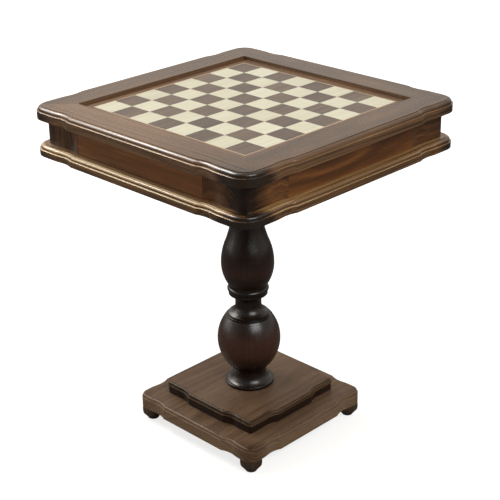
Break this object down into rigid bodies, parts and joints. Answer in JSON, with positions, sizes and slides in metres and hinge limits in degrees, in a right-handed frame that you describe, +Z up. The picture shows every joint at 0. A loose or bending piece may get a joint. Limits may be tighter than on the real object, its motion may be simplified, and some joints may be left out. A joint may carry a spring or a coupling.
{
  "type": "chess table",
  "caption": "Square pedestal chess table with an inlaid board sunk in a scalloped moulded frame, a drawer for each player, a turned column and a stepped plinth on four turned feet.",
  "frame": {"origin": "on the floor, under the axis of the column and the centre of the board", "axes": "+Z up; -Y is the front player's side and +Y the back player's side, each with a drawer; +X is the front player's right"},
  "size_m": [0.581, 0.581, 0.6874],
  "materials": {
    "apron_walnut": "satin lacquer on stained walnut",
    "border_veneer": "satin lacquer on walnut veneer",
    "column_walnut": "semi-gloss dark stain, turned",
    "dark_square_veneer": "satin lacquer on walnut veneer",
    "fixing_steel": "zinc plated steel",
    "foot_walnut": "semi-gloss dark stain, turned",
    "light_square_veneer": "satin lacquer on maple veneer",
    "moulding_walnut": "satin lacquer on stained walnut",
    "panel_wood": "plain secondary wood, sanded",
    "plinth_walnut": "satin lacquer on walnut",
    "stringing_veneer": "satin lacquer on maple stringing",
    "top_frame_walnut": "satin lacquer on grey-brown walnut"
  },
  "bodies": {
    "table": {"board_core": "panel_wood", "border_strips": "border_veneer", "bottom_board": "panel_wood", "centre_rail": "panel_wood", "column_ball": "column_walnut", "column_vase": "column_walnut", "corner_block_back_left": "apron_walnut", "corner_block_back_right": "apron_walnut", "corner_block_front_left": "apron_walnut", "corner_block_front_right": "apron_walnut", "dark_squares": "dark_square_veneer", "drawer_guide_left": "panel_wood", "drawer_guide_right": "panel_wood", "drawer_kicker_left": "panel_wood", "drawer_kicker_right": "panel_wood", "foot_back_left": "foot_walnut", "foot_back_right": "foot_walnut", "foot_front_left": "foot_walnut", "foot_front_right": "foot_walnut", "light_squares": "light_square_veneer", "lower_plinth": "plinth_walnut", "moulding_back": "moulding_walnut", "moulding_front": "moulding_walnut", "moulding_left": "moulding_walnut", "moulding_right": "moulding_walnut", "mounting_block": "panel_wood", "rod_nuts": "fixing_steel", "rod_washers": "fixing_steel", "side_apron_left": "apron_walnut", "side_apron_right": "apron_walnut", "stringing": "stringing_veneer", "tie_rod": "fixing_steel", "top_frame_back": "top_frame_walnut", "top_frame_front": "top_frame_walnut", "top_frame_left": "top_frame_walnut", "top_frame_right": "top_frame_walnut", "upper_plinth": "plinth_walnut"},
    "front_drawer": {"front_drawer_bottom": "panel_wood", "front_drawer_face": "apron_walnut", "front_drawer_rear": "panel_wood", "front_drawer_side_left": "panel_wood", "front_drawer_side_right": "panel_wood"},
    "back_drawer": {"back_drawer_bottom": "panel_wood", "back_drawer_face": "apron_walnut", "back_drawer_rear": "panel_wood", "back_drawer_side_left": "panel_wood", "back_drawer_side_right": "panel_wood"}
  },
  "joints": [
    {"name": "front_drawer_slide", "type": "slide", "parent": "table", "child": "front_drawer", "axis": [0, -1, 0], "range_m": [0, 0.19]},
    {"name": "back_drawer_slide", "type": "slide", "parent": "table", "child": "back_drawer", "axis": [0, 1, 0], "range_m": [0, 0.19]}
  ]
}
